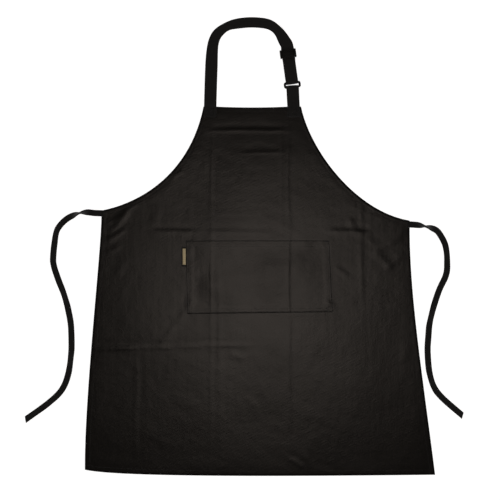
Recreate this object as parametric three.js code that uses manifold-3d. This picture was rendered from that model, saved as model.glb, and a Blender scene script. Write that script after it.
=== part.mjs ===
// A bib apron of woven polyester, laid flat on a table with its front up.
// Millimetres. X runs across the apron, Y from the hem to the neck, Z up off the table.
import * as THREE from 'three';
import Module from 'manifold-3d';

const wasm = await Module();
wasm.setup();

// Space kept between two pieces that touch on the real apron.
const gap = 0.3;

// Body panel: the skirt and the bib are one cloth.
const panelThick = 1.5;
const hemWidth = 700;
const waistWidth = 616;
const bibWidth = 195;
const skirtLength = 516;
const bibLength = 224;
const waistY = 56;
// The cloth lies a little askew: how far each level is pushed in X, and how much higher the left waist is.
const bibShift = -15.5;
const waistShift = -9;
const waistSkew = 20;
const waistCornerDrop = 12;
const hemCornerRound = 14;

// Patch pocket: a flat seam allowance all round, with the cloth between standing off the panel.
const pocketThick = 1.2;
const pocketWidth = 288;
const pocketDepth = 146;
const pocketX = -3;
const pocketTopY = 12;
const pocketSeamAllowance = 11;
const pocketRise = 6;
const pocketSlope = 34;

// Woven label caught in the pocket's left seam.
const labelLength = 40;
const labelReach = 9.5;
const labelThick = 0.8;
const labelDrop = 12;

// Neck strap: a flat tube of the same cloth.
const strapWidth = 25;
const strapThick = 1;
const sewnEndLength = 22;
const leftStrapInset = 13.5;
const rightStrapInset = 15;
const loopHeight = 167.5;

// Ring and slider, both moulded.
const ringHeight = 13.6;
const ringWire = 3.2;
const ringSideRoom = 1;
const buckleStrapLength = 37;
const ringToSlider = 57;
const sliderHeight = 17;
const sliderBar = 2;
const sliderBarWidth = 3.2;
const sliderRail = 3.2;
const sliderSideRoom = 0.6;
const runningSlack = 0.7;
const returnStub = 5;

// The ring and the slider are as wide as the strap, its room at both sides and their own two sides.
const ringWidth = strapWidth + 2 * (ringSideRoom + ringWire);
const sliderWidth = strapWidth + 2 * (sliderSideRoom + sliderRail);
// The strap runs above its own folded end, which holds the slider's middle bar.
const runningHeight = 2 * (strapThick + gap) + sliderBar + runningSlack;

// How far each stretch of the right side leans to the left, in degrees.
const buckleLean = 3;
const ringLean = 7;
const strapLean = 8;

// Waist ties: tape that lies loose on the table.
const tieWidth = 12;
const tieThick = 1;

// Sewing thread, and how far each row of stitches lies inside its edge.
const threadWidth = 0.8;
const threadHeight = 0.5;
const hemInset = 10;
const armholeInset = 8;
const pocketSeamInset = 3;
const pocketSeamPitch = 5;
const bartackLength = 11;
const bartackWidth = 2;

const radians = (degrees) => degrees * Math.PI / 180;

// Room in a strap's turn round a bar of the ring, which leans a little more than the strap.
const turnSlack = gap + Math.sin(radians(ringLean - buckleLean)) * strapWidth / 2;

const apron = new THREE.Group();
apron.name = 'artist_apron';

const cloth = { color: 0x2b2724, roughness: 0.8, metalness: 0 };
const webbing = { color: 0x161412, roughness: 0.7, metalness: 0 };
const thread = { color: 0x1b1816, roughness: 0.6, metalness: 0 };
const plastic = { color: 0x0e0d0c, roughness: 0.35, metalness: 0 };
const labelCloth = { color: 0x3a3020, roughness: 0.6, metalness: 0 };

function addPiece(name, geometry, look, parent = apron) {
  const piece = new THREE.Mesh(geometry, new THREE.MeshStandardMaterial(look));
  piece.name = name;
  parent.add(piece);
  return piece;
}

// ---- solids and booleans

function toSolid(geometry) {
  const flat = geometry.index ? geometry.toNonIndexed() : geometry;
  const source = flat.attributes.position;
  const found = new Map();
  const points = [];
  const corners = [];
  for (let i = 0; i < source.count; i += 1) {
    const place = [source.getX(i), source.getY(i), source.getZ(i)];
    const key = place.map((value) => Math.round(value * 1e4)).join();
    if (!found.has(key)) {
      found.set(key, points.length / 3);
      points.push(...place);
    }
    corners.push(found.get(key));
  }
  const faces = [];
  for (let i = 0; i < corners.length; i += 3) {
    const [a, b, c] = corners.slice(i, i + 3);
    if (a !== b && b !== c && c !== a) faces.push(a, b, c);
  }
  return new wasm.Manifold(new wasm.Mesh({
    numProp: 3,
    vertProperties: new Float32Array(points),
    triVerts: new Uint32Array(faces),
  }));
}

function toGeometry(solid) {
  const mesh = solid.getMesh();
  const geometry = new THREE.BufferGeometry();
  geometry.setAttribute('position', new THREE.Float32BufferAttribute(mesh.vertProperties, 3));
  geometry.setIndex(Array.from(mesh.triVerts));
  geometry.computeVertexNormals();
  return geometry;
}

function slab(shape, bottom, height) {
  const geometry = new THREE.ExtrudeGeometry(shape, { depth: height, bevelEnabled: false });
  return geometry.translate(0, 0, bottom);
}

function boxBetween(low, high) {
  const size = high.map((value, axis) => value - low[axis]);
  const middle = high.map((value, axis) => (value + low[axis]) / 2);
  return new THREE.BoxGeometry(...size).translate(...middle);
}

function roundedRectangle(width, height, radius) {
  const x = width / 2;
  const y = height / 2;
  const shape = new THREE.Shape();
  shape.moveTo(x - radius, -y);
  shape.absarc(x - radius, -y + radius, radius, -Math.PI / 2, 0);
  shape.absarc(x - radius, y - radius, radius, 0, Math.PI / 2);
  shape.absarc(-x + radius, y - radius, radius, Math.PI / 2, Math.PI);
  shape.absarc(-x + radius, -y + radius, radius, Math.PI, Math.PI * 1.5);
  return shape;
}

// A row of stitches: a thin strip along a line of points.
function seamStrip(line, bottom) {
  const side = (index, sign) => {
    const before = line[Math.max(index - 1, 0)];
    const after = line[Math.min(index + 1, line.length - 1)];
    const along = after.clone().sub(before).normalize();
    const across = new THREE.Vector2(-along.y, along.x).multiplyScalar(sign * threadWidth / 2);
    return line[index].clone().add(across);
  };
  const indices = line.map((_, index) => index);
  const right = indices.map((index) => side(index, -1));
  const left = indices.map((index) => side(index, 1)).reverse();
  return slab(new THREE.Shape([...right, ...left]), bottom, threadHeight);
}

// Points of an edge curve between two of its parameters, moved inwards by inset.
function insetLine(curve, inset, from, to, steps) {
  const line = [];
  for (let i = 0; i <= steps; i += 1) {
    const t = from + (to - from) * i / steps;
    const along = curve.getTangent(t);
    const inwards = new THREE.Vector2(-along.y, along.x).multiplyScalar(inset);
    line.push(curve.getPoint(t).add(inwards));
  }
  return line;
}

// ---- the body panel's edges, counter-clockwise from the bib's top left corner

const bibTopY = waistY + bibLength;
const hemY = waistY - skirtLength;
const bibLeft = new THREE.Vector2(bibShift - bibWidth / 2, bibTopY);
const bibRight = new THREE.Vector2(bibShift + bibWidth / 2, bibTopY);
const waistLeft = new THREE.Vector2(
  waistShift - waistWidth / 2, waistY + (waistCornerDrop + waistSkew) / 2);
const waistRight = new THREE.Vector2(
  waistShift + waistWidth / 2, waistY + (waistCornerDrop - waistSkew) / 2);
const hemLeft = new THREE.Vector2(-hemWidth / 2, hemY + hemCornerRound);
const hemRight = new THREE.Vector2(hemWidth / 2, hemY + 4);

function mix(a, b, across, up) {
  return new THREE.Vector2(a.x + (b.x - a.x) * across, a.y + (b.y - a.y) * up);
}

const cornerBelow = (corner) => new THREE.Vector2(corner.x, corner.y - waistCornerDrop);
const edges = {
  leftArmhole: new THREE.CubicBezierCurve(
    bibLeft, mix(bibLeft, waistLeft, 0.11, 0.55), mix(bibLeft, waistLeft, 0.5, 0.9), waistLeft),
  leftCorner: new THREE.LineCurve(waistLeft, cornerBelow(waistLeft)),
  leftSide: new THREE.CubicBezierCurve(
    cornerBelow(waistLeft), mix(waistLeft, hemLeft, 0, 0.15), mix(waistLeft, hemLeft, 1.04, 0.72), hemLeft),
  bottom: new THREE.CubicBezierCurve(
    hemLeft, new THREE.Vector2(hemLeft.x + 60, hemY), new THREE.Vector2(0, hemY), hemRight),
  rightSide: new THREE.CubicBezierCurve(
    hemRight, mix(hemRight, waistRight, 0.5, 0.4), mix(hemRight, waistRight, 1, 0.7),
    cornerBelow(waistRight)),
  rightCorner: new THREE.LineCurve(cornerBelow(waistRight), waistRight),
  rightArmhole: new THREE.CubicBezierCurve(
    waistRight, mix(waistRight, bibRight, 0.5, 0.08), mix(waistRight, bibRight, 0.92, 0.62), bibRight),
  bibTop: new THREE.LineCurve(bibRight, bibLeft),
};

function bodyPanel() {
  const outline = [];
  for (const edge of Object.values(edges)) {
    const divisions = edge.isLineCurve ? 1 : 22;
    outline.push(...edge.getPoints(divisions).slice(0, -1));
  }
  addPiece('body_panel', slab(new THREE.Shape(outline), 0, panelThick), cloth);
}

function hemThreads() {
  const top = panelThick + gap;
  const bibTopLine = [
    new THREE.Vector2(bibRight.x - rightStrapInset - strapWidth / 2 - 2, bibTopY - hemInset),
    new THREE.Vector2(bibLeft.x + leftStrapInset + strapWidth / 2 + 2, bibTopY - hemInset),
  ];
  const lines = {
    bib_hem_thread: bibTopLine,
    left_armhole_thread: insetLine(edges.leftArmhole, armholeInset, 0.17, 0.95, 24),
    right_armhole_thread: insetLine(edges.rightArmhole, armholeInset, 0.05, 0.83, 24),
    left_side_thread: insetLine(edges.leftSide, hemInset, 0.05, 0.965, 20),
    right_side_thread: insetLine(edges.rightSide, hemInset, 0.035, 0.95, 20),
    bottom_hem_thread: insetLine(edges.bottom, hemInset, 0.03, 0.985, 20),
  };
  for (const [name, line] of Object.entries(lines)) {
    addPiece(name, seamStrip(line, top), thread);
  }
}

// ---- patch pocket

const pocketBottomY = pocketTopY - pocketDepth;
const pocketLeftX = pocketX - pocketWidth / 2;
const pocketRightX = pocketX + pocketWidth / 2;
const pocketBase = panelThick + gap;

// How far the pocket's cloth stands off the panel: nothing over the seam allowance, and fully at the mouth.
function pocketLift(x, y) {
  const smooth = (distance) => THREE.MathUtils.smoothstep(distance, 0, pocketSlope);
  const fromSide = pocketWidth / 2 - pocketSeamAllowance - Math.abs(x - pocketX);
  const fromBottom = y - pocketBottomY - pocketSeamAllowance;
  return pocketRise * smooth(fromSide) * smooth(fromBottom);
}

// A flat piece laid over the pocket, bent to its shape.
function overPocket(low, high, acrossSteps, upSteps) {
  const width = high[0] - low[0];
  const length = high[1] - low[1];
  const thick = high[2] - low[2];
  const flat = new THREE.BoxGeometry(width, length, thick, acrossSteps, upSteps, 1)
    .translate(low[0] + width / 2, low[1] + length / 2, low[2] + thick / 2);
  const places = flat.attributes.position;
  for (let i = 0; i < places.count; i += 1) {
    places.setZ(i, places.getZ(i) + pocketLift(places.getX(i), places.getY(i)));
  }
  return flat;
}

function pocketPanel() {
  const low = [pocketLeftX, pocketBottomY, pocketBase];
  const high = [pocketRightX, pocketTopY, pocketBase + pocketThick];
  addPiece('pocket_panel', overPocket(low, high, 36, 18), cloth);
}

function pocketThreads() {
  const hemLow = pocketBase + pocketThick + gap;
  const hemEnd = pocketSeamPitch + 4;
  const hemLine = overPocket(
    [pocketLeftX + hemEnd, pocketTopY - hemInset - threadWidth, hemLow],
    [pocketRightX - hemEnd, pocketTopY - hemInset, hemLow + threadHeight], 36, 1);
  addPiece('pocket_hem_thread', hemLine, thread);

  const top = pocketBase + pocketThick + gap;
  const rows = {
    pocket_seam_thread: pocketSeamInset,
    pocket_inner_seam_thread: pocketSeamPitch + pocketSeamInset,
  };
  for (const [name, inset] of Object.entries(rows)) {
    const line = [
      new THREE.Vector2(pocketLeftX + inset, pocketTopY - 4),
      new THREE.Vector2(pocketLeftX + inset, pocketBottomY + inset + 2),
      new THREE.Vector2(pocketLeftX + inset + 2, pocketBottomY + inset),
      new THREE.Vector2(pocketRightX - inset - 2, pocketBottomY + inset),
      new THREE.Vector2(pocketRightX - inset, pocketBottomY + inset + 2),
      new THREE.Vector2(pocketRightX - inset, pocketTopY - 4),
    ];
    addPiece(name, seamStrip(line, top), thread);
  }
  const sides = { left: pocketLeftX + 0.5, right: pocketRightX - bartackLength - 0.5 + 1 };
  for (const [side, x] of Object.entries(sides)) {
    const block = boxBetween(
      [x, pocketTopY - 3.4, top],
      [x + bartackLength - 1, pocketTopY - 3.4 + bartackWidth, top + threadHeight]);
    addPiece(`pocket_bartack_${side}`, block, thread);
  }
}

function sideLabel() {
  const right = pocketLeftX - gap;
  const top = pocketTopY - labelDrop;
  const block = boxBetween(
    [right - labelReach, top - labelLength, panelThick + gap],
    [right, top, panelThick + gap + labelThick]);
  addPiece('side_label', block, labelCloth);
}

// ---- neck strap

// A stretch of strap that runs up the table from a point, leaning to the left.
function leaning(point, lean) {
  const frame = new THREE.Group();
  frame.position.set(point.x, point.y, 0);
  frame.rotation.z = radians(lean);
  apron.add(frame);
  return frame;
}

function upFrom(point, lean, distance) {
  const angle = radians(lean);
  return new THREE.Vector2(point.x - Math.sin(angle) * distance, point.y + Math.cos(angle) * distance);
}

const leftBase = new THREE.Vector2(bibLeft.x + leftStrapInset, bibTopY + gap);
const buckleBaseGap = gap + Math.sin(radians(buckleLean)) * strapWidth / 2;
const rightBase = new THREE.Vector2(bibRight.x - rightStrapInset, bibTopY + buckleBaseGap);
const lowerBar = upFrom(rightBase, buckleLean, buckleStrapLength);
const upperBar = upFrom(lowerBar, ringLean, ringHeight - ringWire);
const sliderPlace = upFrom(upperBar, strapLean, ringToSlider);
const wireMiddle = strapThick + gap + ringWire / 2;

// Side view of a strap turned back round a bar: along is the distance up the strap, z the height.
function turnedStrap(length, innerTop) {
  const outer = (innerTop + strapThick) / 2;
  const inner = (innerTop - strapThick) / 2;
  const turn = length + turnSlack;
  const side = new THREE.Shape();
  side.moveTo(0, 0);
  side.lineTo(turn, 0);
  side.absarc(turn, outer, outer, -Math.PI / 2, Math.PI / 2);
  side.lineTo(turn - 4, 2 * outer);
  side.lineTo(3, 2 * strapThick);
  side.lineTo(0, 2 * strapThick);
  const hole = new THREE.Path();
  hole.moveTo(6, strapThick);
  hole.lineTo(turn - 3.5, innerTop);
  hole.lineTo(turn, innerTop);
  hole.absarc(turn, outer, inner, Math.PI / 2, -Math.PI / 2, true);
  side.holes.push(hole);
  const geometry = new THREE.ExtrudeGeometry(side, {
    depth: strapWidth, bevelEnabled: false, curveSegments: 8,
  });
  // The drawing's first axis goes up the strap (Y), its second up off the table (Z).
  return geometry.rotateX(Math.PI / 2).rotateZ(Math.PI / 2).translate(-strapWidth / 2, 0, 0);
}

function strapSection(width, thick) {
  const x = thick / 2;
  const y = width / 2;
  const cut = thick * 0.3;
  return new THREE.Shape([
    new THREE.Vector2(-x, -y + cut), new THREE.Vector2(-x + cut, -y),
    new THREE.Vector2(x - cut, -y), new THREE.Vector2(x, -y + cut),
    new THREE.Vector2(x, y - cut), new THREE.Vector2(x - cut, y),
    new THREE.Vector2(-x + cut, y), new THREE.Vector2(-x, y - cut),
  ]);
}

// Frames whose width stays level with the table, through a climb or a turn round a bar.
function levelFrames(route, steps) {
  const frames = { tangents: [], normals: [], binormals: [] };
  let across = new THREE.Vector3(1, 0, 0);
  for (let i = 0; i <= steps; i += 1) {
    const along = route.getTangentAt(i / steps).normalize();
    const level = new THREE.Vector3(-along.y, along.x, 0);
    if (level.length() > 0.05) across = level.normalize().multiplyScalar(Math.sign(level.dot(across)) || 1);
    frames.tangents.push(along);
    frames.binormals.push(across.clone());
    frames.normals.push(new THREE.Vector3().crossVectors(across, along).normalize());
  }
  return frames;
}

// A strap swept along points, with the same number of steps between each two of them.
function sweptStrap(points, width, thick, stepsEach) {
  const route = new THREE.CatmullRomCurve3(points, false, 'centripetal');
  route.getUtoTmapping = (u) => u;
  route.computeFrenetFrames = (steps) => levelFrames(route, steps);
  return new THREE.ExtrudeGeometry(strapSection(width, thick), {
    steps: (points.length - 1) * stepsEach,
    extrudePath: route,
  });
}

// The loop's shape between its left base and the straight stretch: share of the way across, share
// of the loop's height, share of the climb. Past the top the height is a share of what is left.
const loopRise = [
  [0, 0.04, 0], [0.014, 0.42, 0], [0.027, 0.67, 0], [0.053, 0.795, 0], [0.116, 0.887, 0.005],
  [0.243, 0.963, 0.03], [0.426, 0.997, 0.11], [0.612, 1, 0.3],
];
const loopFall = [[0.775, 0.9, 0.6], [0.892, 0.6, 0.85], [0.971, 0.18, 0.98], [1, 0, 1]];

function neckStrapRoute() {
  const half = strapThick / 2;
  const running = runningHeight + half;
  const straightEnd = upFrom(sliderPlace, strapLean, sliderHeight / 2 + 8);
  const span = straightEnd.x - leftBase.x;
  const endRise = straightEnd.y - bibTopY;
  const points = [new THREE.Vector3(leftBase.x, leftBase.y, half)];
  const place = ([across, climb], rise) => points.push(
    new THREE.Vector3(leftBase.x + across * span, bibTopY + rise, half + climb * runningHeight));
  for (const [across, up, climb] of loopRise) place([across, climb], up * loopHeight);
  for (const [across, up, climb] of loopFall) {
    place([across, climb], endRise + up * (loopHeight - endRise));
  }
  const along = (distance, height) => {
    const place = upFrom(upperBar, strapLean, distance);
    points.push(new THREE.Vector3(place.x, place.y, height));
  };
  for (const distance of [ringToSlider, ringToSlider / 2, 4, 1]) along(distance, running);
  const turnRadius = runningHeight / 2;
  const turnSteps = 8;
  for (let i = 0; i <= turnSteps; i += 1) {
    const angle = Math.PI * i / turnSteps;
    const out = turnRadius * Math.sin(angle);
    along(-turnSlack - out, half + turnRadius + turnRadius * Math.cos(angle));
  }
  along(1.5, half);
  along(returnStub, half);
  return points;
}

function neckStrap() {
  addPiece('neck_strap', sweptStrap(neckStrapRoute(), strapWidth, strapThick, 3), webbing);
  const endTop = panelThick + gap;
  const sewnEnds = {
    neck_strap_sewn_end: [leftBase.x, strapThick],
    buckle_strap_sewn_end: [rightBase.x, 2 * strapThick],
  };
  for (const [name, [x, thick]] of Object.entries(sewnEnds)) {
    const block = boxBetween(
      [x - strapWidth / 2, bibTopY - sewnEndLength, endTop],
      [x + strapWidth / 2, bibTopY, endTop + thick]);
    addPiece(name, block, webbing);
    addPiece(name.replace('sewn_end', 'box_stitch'), boxStitch(x, endTop + thick + gap), thread);
  }
}

// A square of stitches with one diagonal cross, through the sewn end of a strap.
function boxStitch(x, bottom) {
  const width = strapWidth - 6;
  const height = sewnEndLength - 7;
  const middleY = bibTopY - sewnEndLength / 2 - 0.5;
  const corner = (across, up) => new THREE.Vector2(x + across * width / 2, middleY + up * height / 2);
  const rows = [
    [corner(-1, -1), corner(1, -1)], [corner(1, -1), corner(1, 1)],
    [corner(1, 1), corner(-1, 1)], [corner(-1, 1), corner(-1, -1)],
    [corner(-1, -1), corner(1, 1)], [corner(-1, 1), corner(1, -1)],
  ];
  const whole = rows
    .map(([from, to]) => {
      const past = to.clone().sub(from).setLength(threadWidth / 2);
      return toSolid(seamStrip([from.clone().sub(past), to.clone().add(past)], bottom));
    })
    .reduce((sum, row) => sum.add(row));
  return toGeometry(whole);
}

function ringAndSlider() {
  const buckleFrame = leaning(rightBase, buckleLean);
  const buckleTop = wireMiddle + ringWire / 2 + gap;
  addPiece('buckle_strap', turnedStrap(buckleStrapLength, buckleTop), webbing, buckleFrame);

  const ringFrame = leaning(lowerBar, ringLean);
  const bevel = 0.9;
  const outline = roundedRectangle(ringWidth - 2 * bevel, ringHeight - 2 * bevel, 2.6);
  const inside = roundedRectangle(
    ringWidth - 2 * ringWire + 2 * bevel, ringHeight - 2 * ringWire + 2 * bevel, 2);
  outline.holes.push(inside);
  const ring = new THREE.ExtrudeGeometry(outline, {
    depth: ringWire - 2 * bevel,
    bevelThickness: bevel,
    bevelSize: bevel,
    bevelSegments: 3,
    curveSegments: 5,
  }).translate(0, (ringHeight - ringWire) / 2, wireMiddle - ringWire / 2 + bevel);
  addPiece('strap_ring', ring, plastic, ringFrame);

  const sliderFrame = leaning(sliderPlace, strapLean);
  addPiece('strap_slider', slider(), plastic, sliderFrame);
  const loopTop = strapThick + gap + sliderBar + gap;
  const loopLength = 14;
  const loop = turnedStrap(loopLength + sliderBarWidth / 2, loopTop).translate(0, -loopLength, 0);
  addPiece('slider_strap_loop', loop, webbing, sliderFrame);
  const row = [-1, 1].map((side) => new THREE.Vector2(side * (strapWidth / 2 - 2), 1.6 - loopLength));
  addPiece('slider_loop_thread', seamStrip(row, 2 * strapThick + gap), thread, sliderFrame);

  const runFrame = leaning(upperBar, strapLean);
  const back = boxBetween(
    [-strapWidth / 2, returnStub + gap, 0],
    [strapWidth / 2, ringToSlider - loopLength - gap, strapThick]);
  addPiece('neck_strap_return', back, webbing, runFrame);
}

// A three-bar slider: the strap runs under the two outer bars and over the middle one.
function slider() {
  const bottom = strapThick + gap;
  const outerBottom = runningHeight + strapThick + gap;
  const top = outerBottom + sliderBar;
  const x = sliderWidth / 2;
  const y = sliderHeight / 2;
  const round = 0.5;
  const bar = (low, high) => {
    const width = high[0] - low[0] - 2 * round;
    const length = high[1] - low[1] - 2 * round;
    return toSolid(new THREE.ExtrudeGeometry(roundedRectangle(width, length, 0.6), {
      depth: high[2] - low[2] - 2 * round,
      bevelThickness: round,
      bevelSize: round,
      bevelSegments: 2,
      curveSegments: 3,
    }).translate((low[0] + high[0]) / 2, (low[1] + high[1]) / 2, low[2] + round));
  };
  const inside = x - sliderRail / 2;
  const whole = bar([-x, -y, bottom], [-x + sliderRail, y, top])
    .add(bar([x - sliderRail, -y, bottom], [x, y, top]))
    .add(bar([-inside, -y + 0.2, outerBottom], [inside, -y + 0.2 + sliderBarWidth, top - 0.1]))
    .add(bar([-inside, y - 0.2 - sliderBarWidth, outerBottom], [inside, y - 0.2, top - 0.1]))
    .add(bar(
      [-inside, -sliderBarWidth / 2, bottom + 0.05],
      [inside, sliderBarWidth / 2, bottom + sliderBar]));
  return toGeometry(whole);
}

// ---- waist ties: each route is a list of places on the table, from the waist corner to the free end

const leftTieRoute = [
  [-318, 66.5], [-330, 67], [-345, 68.5], [-359, 67], [-382, 58], [-399, 43], [-408, 24], [-413, -19],
  [-412, -38], [-403, -66], [-390, -100], [-380, -141], [-377, -172], [-377, -210], [-383, -254],
  [-396, -286], [-422, -312], [-469, -346],
];
const rightTieRoute = [
  [300, 44], [311, 43.5], [321, 42], [330, 40], [350, 34], [361, 22], [371, 0], [374, -34], [371, -58],
  [358, -87], [347, -120], [339, -153], [336, -184], [335, -211], [338, -248], [347, -279],
  [364, -302], [405, -338],
];

function waistTies() {
  const routes = { left_waist_tie: leftTieRoute, right_waist_tie: rightTieRoute };
  for (const [name, route] of Object.entries(routes)) {
    const points = route.map(([x, y]) => new THREE.Vector3(x, y, tieThick / 2));
    addPiece(name, sweptStrap(points, tieWidth, tieThick, 2), webbing);
  }
  const rows = { left: [waistLeft, 1], right: [waistRight, -1] };
  for (const [side, [corner, inwards]] of Object.entries(rows)) {
    const x = corner.x + inwards * 5;
    const y = corner.y - waistCornerDrop / 2;
    const block = boxBetween(
      [x - bartackWidth / 2, y - 4, panelThick + gap],
      [x + bartackWidth / 2, y + 4, panelThick + gap + threadHeight]);
    addPiece(`${side}_tie_bartack`, block, thread);
  }
}

bodyPanel();
hemThreads();
pocketPanel();
pocketThreads();
sideLabel();
neckStrap();
ringAndSlider();
waistTies();

export default apron;
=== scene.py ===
# A black bib apron laid flat on a pale table, seen from straight above.
import math

import bmesh
import bpy
import numpy as np
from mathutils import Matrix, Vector


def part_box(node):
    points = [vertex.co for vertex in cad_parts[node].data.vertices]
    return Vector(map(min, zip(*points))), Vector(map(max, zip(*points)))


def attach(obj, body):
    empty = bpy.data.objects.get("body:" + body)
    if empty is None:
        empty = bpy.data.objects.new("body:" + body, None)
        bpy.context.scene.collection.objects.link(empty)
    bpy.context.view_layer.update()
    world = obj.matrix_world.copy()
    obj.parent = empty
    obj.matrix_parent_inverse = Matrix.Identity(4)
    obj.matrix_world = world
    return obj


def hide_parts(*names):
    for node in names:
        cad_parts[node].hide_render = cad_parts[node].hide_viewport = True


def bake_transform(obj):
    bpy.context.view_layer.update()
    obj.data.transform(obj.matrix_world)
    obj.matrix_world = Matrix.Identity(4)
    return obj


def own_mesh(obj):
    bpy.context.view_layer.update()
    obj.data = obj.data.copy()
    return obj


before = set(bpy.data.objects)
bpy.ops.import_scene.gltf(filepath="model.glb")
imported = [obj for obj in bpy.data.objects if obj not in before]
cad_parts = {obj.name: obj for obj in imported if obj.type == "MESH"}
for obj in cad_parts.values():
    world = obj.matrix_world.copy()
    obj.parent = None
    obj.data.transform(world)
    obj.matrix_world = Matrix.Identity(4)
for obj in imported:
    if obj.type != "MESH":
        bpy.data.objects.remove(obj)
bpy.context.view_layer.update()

mm = 0.001

def toLinear(hexColour):
    channels = [int(hexColour[i:i + 2], 16) / 255 for i in (1, 3, 5)]
    return [c / 12.92 if c <= 0.04045 else ((c + 0.055) / 1.055) ** 2.4 for c in channels] + [1.0]


def smoothStep(value, low, high):
    t = np.clip((value - low) / (high - low), 0, 1)
    return t * t * (3 - 2 * t)


def addNode(tree, kind, settings=None, links=None):
    node = tree.nodes.new(kind)
    for key, value in (settings or {}).items():
        if isinstance(key, int) or key in node.inputs:
            node.inputs[key].default_value = value
        else:
            setattr(node, key, value)
    for key, source in (links or {}).items():
        tree.links.new(source, node.inputs[key])
    return node


def newMaterial(name):
    material = bpy.data.materials.new(name)
    material.use_nodes = True
    tree = material.node_tree
    tree.nodes.clear()
    return material, tree


def finishMaterial(tree, shader):
    addNode(tree, "ShaderNodeOutputMaterial", {}, {"Surface": shader.outputs[0]})


def meshObject(name, verts, faces, material):
    mesh = bpy.data.meshes.new(name)
    mesh.from_pydata(verts.tolist(), [], faces.tolist() if isinstance(faces, np.ndarray) else faces)
    mesh.validate()
    mesh.shade_smooth()
    mesh.materials.append(material)
    made = bpy.data.objects.new(name, mesh)
    bpy.context.scene.collection.objects.link(made)
    return made


def joinTo(made, body, *nodes):
    # Carried by one body, in the place of these CAD nodes.
    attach(made, body)
    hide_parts(*nodes)


def along(points):
    # Distance travelled at each point of a line.
    steps = np.linalg.norm(np.diff(points, axis=0), axis=1)
    return np.concatenate([[0], np.cumsum(steps)])


def pointsAt(line, distances):
    travelled = along(line)
    return np.stack([np.interp(distances, travelled, line[:, k]) for k in range(line.shape[1])], axis=1)


def resample(line, count):
    return pointsAt(line, np.linspace(0, along(line)[-1], count))


def smoothRoute(points, step):
    # A curve through given points, then even steps along it.
    p = np.asarray(points, float)
    p = np.vstack([2 * p[0] - p[1], p, 2 * p[-1] - p[-2]])
    t = np.linspace(0, 1, 24, endpoint=False)[:, None]
    stretches = []
    for a, b, c, d in zip(p[:-3], p[1:-2], p[2:-1], p[3:]):
        stretches.append(0.5 * (2 * b + (c - a) * t + (2 * a - 5 * b + 4 * c - d) * t ** 2
                                + (3 * b - a - 3 * c + d) * t ** 3))
    dense = np.vstack(stretches + [p[-2][None]])
    return resample(dense, max(8, int(round(along(dense)[-1] / step)) + 1))


def uneven(x, y, wavelength, seed):
    # Soft unevenness of about unit height: a few waves of mixed directions.
    rng = np.random.default_rng(seed)
    total = np.zeros_like(x)
    for _ in range(26):
        angle = rng.uniform(0, 2 * math.pi)
        length = wavelength * rng.uniform(0.55, 2.0)
        phase = rng.uniform(0, 2 * math.pi)
        total += np.sin(2 * math.pi * (x * math.cos(angle) + y * math.sin(angle)) / length + phase)
    return total / 5.1


def closedGrid(top, bottom):
    # One closed body from two grids of the same size: faces above, below and round the rim.
    rows, cols = top.shape[:2]
    verts = np.vstack([top.reshape(-1, 3), bottom.reshape(-1, 3)])
    index = np.arange(rows * cols).reshape(rows, cols)
    under = index + rows * cols
    a, b, c, d = index[:-1, :-1], index[:-1, 1:], index[1:, 1:], index[1:, :-1]
    faces = [np.stack([a, b, c, d], -1).reshape(-1, 4)]
    a, b, c, d = under[:-1, :-1], under[1:, :-1], under[1:, 1:], under[:-1, 1:]
    faces.append(np.stack([a, b, c, d], -1).reshape(-1, 4))
    rim = np.concatenate([index[0, :-1], index[:-1, -1], index[-1, :0:-1], index[:0:-1, 0]])
    following = np.roll(rim, -1)
    faces.append(np.stack([rim, rim + rows * cols, following + rows * cols, following], -1))
    return verts, np.vstack(faces)


cameraLook = {"height": 2.36, "lens": 85.0, "x": -20 * mm, "y": -6.8 * mm}


def makeCamera():
    data = bpy.data.cameras.new("camera")
    data.lens = cameraLook["lens"]
    data.clip_end = 50
    camera = bpy.data.objects.new("camera", data)
    camera.location = (cameraLook["x"], cameraLook["y"], cameraLook["height"])
    bpy.context.scene.collection.objects.link(camera)
    bpy.context.scene.camera = camera
    print("camera placed")


# Spacings in mm. Real ribs lie about 0.5 mm apart, too fine to show, so they are drawn far coarser.
twillLook = {
    "colour": "#0f0d0b", "lighter": "#151210", "roughness": 0.3,
    "rib": 5.655, "slub": 1.111, "crumpleSize": 10.526, "streak": 7.692, "cloud": 111.1, "fleck": 4.167,
    "bump": 0.12, "crumple": 0.2,
}


def waveScale(spacing, bands=20):
    # A wave texture's scale for bands this many mm apart; a diagonal one counts 10 and not 20.
    return 2 * math.pi / (bands * spacing * mm)


def noiseScale(size):
    return 1 / (size * mm)


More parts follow.
